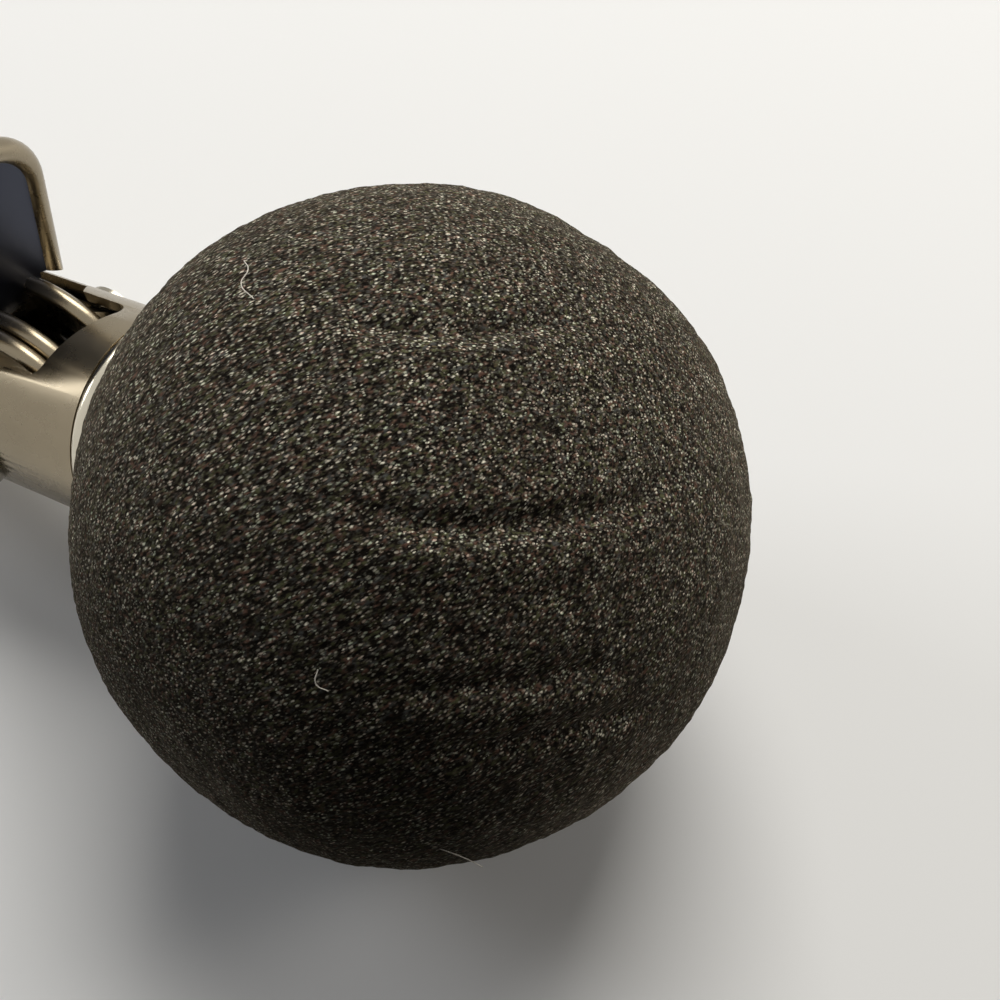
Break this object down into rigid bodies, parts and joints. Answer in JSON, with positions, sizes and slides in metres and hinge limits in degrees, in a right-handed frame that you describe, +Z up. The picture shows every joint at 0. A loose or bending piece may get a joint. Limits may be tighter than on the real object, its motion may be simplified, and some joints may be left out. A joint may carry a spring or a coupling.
{
  "type": "lavalier microphone",
  "caption": "Lavalier microphone with a foam ball windscreen, a short barrel holding an electret capsule, and a sprung metal clip with a thumb tab.",
  "frame": {"origin": "centre of the bounding box's base, on the surface that the microphone lies on", "axes": "+X towards the foam ball's front, +Z up, with the microphone's own axis leaned 10 degrees down towards the jaws"},
  "size_m": [0.06, 0.028, 0.0275],
  "materials": {
    "foam": "open-cell foam, fine pores, black-brown",
    "polished_nickel": "polished nickel plate over stamped steel",
    "satin_metal": "satin nickel",
    "woven_mesh": "fine woven wire",
    "rubber": "soft matt rubber",
    "felt": "thin felt",
    "aluminium": "drawn aluminium",
    "brass": "turned brass",
    "film": "metallised polymer film",
    "insulator": "moulded plastic",
    "board": "glass-epoxy board with solder mask",
    "chip": "moulded package",
    "ceramic": "ceramic chip",
    "solder": "solder",
    "black_plastic": "moulded plastic",
    "pin_steel": "bright turned steel",
    "spring_steel": "drawn spring wire"
  },
  "bodies": {
    "clip": {"clip_body": "polished_nickel", "pivot_pin": "pin_steel", "torsion_spring": "spring_steel"},
    "lever": {"clip_lever": "polished_nickel"},
    "mic_head": {"mic_barrel": "polished_nickel", "front_grille": "satin_metal", "acoustic_mesh": "woven_mesh", "capsule_sleeve": "rubber", "dust_felt": "felt", "capsule_can": "aluminium", "diaphragm_ring": "brass", "diaphragm": "film", "insulating_washer": "insulator", "backplate": "aluminium", "backplate_holder": "insulator", "gate_ring": "brass", "circuit_board": "board", "fet_chip": "chip", "filter_capacitor": "ceramic", "solder_pads": "solder", "rear_cap": "black_plastic", "cable_bush": "rubber"},
    "windscreen": {"foam_windscreen": "foam"}
  },
  "joints": [
    {"name": "lever_hinge", "type": "hinge", "parent": "clip", "child": "lever", "pos_m": [-0.00544, 0, 0.00953], "axis": [0, 1, 0], "range_deg": [0, 28], "stiffness_Nm_per_rad": 0.05, "springref_deg": -34.38, "deforming": ["torsion_spring"]},
    {"name": "head_slide", "type": "slide", "parent": "clip", "child": "mic_head", "axis": [0.9833, 0, 0.1821], "range_m": [0, 0.006]},
    {"name": "foam_pull", "type": "slide", "parent": "mic_head", "child": "windscreen", "axis": [0.9833, 0, 0.1821], "range_m": [0, 0.016]}
  ]
}
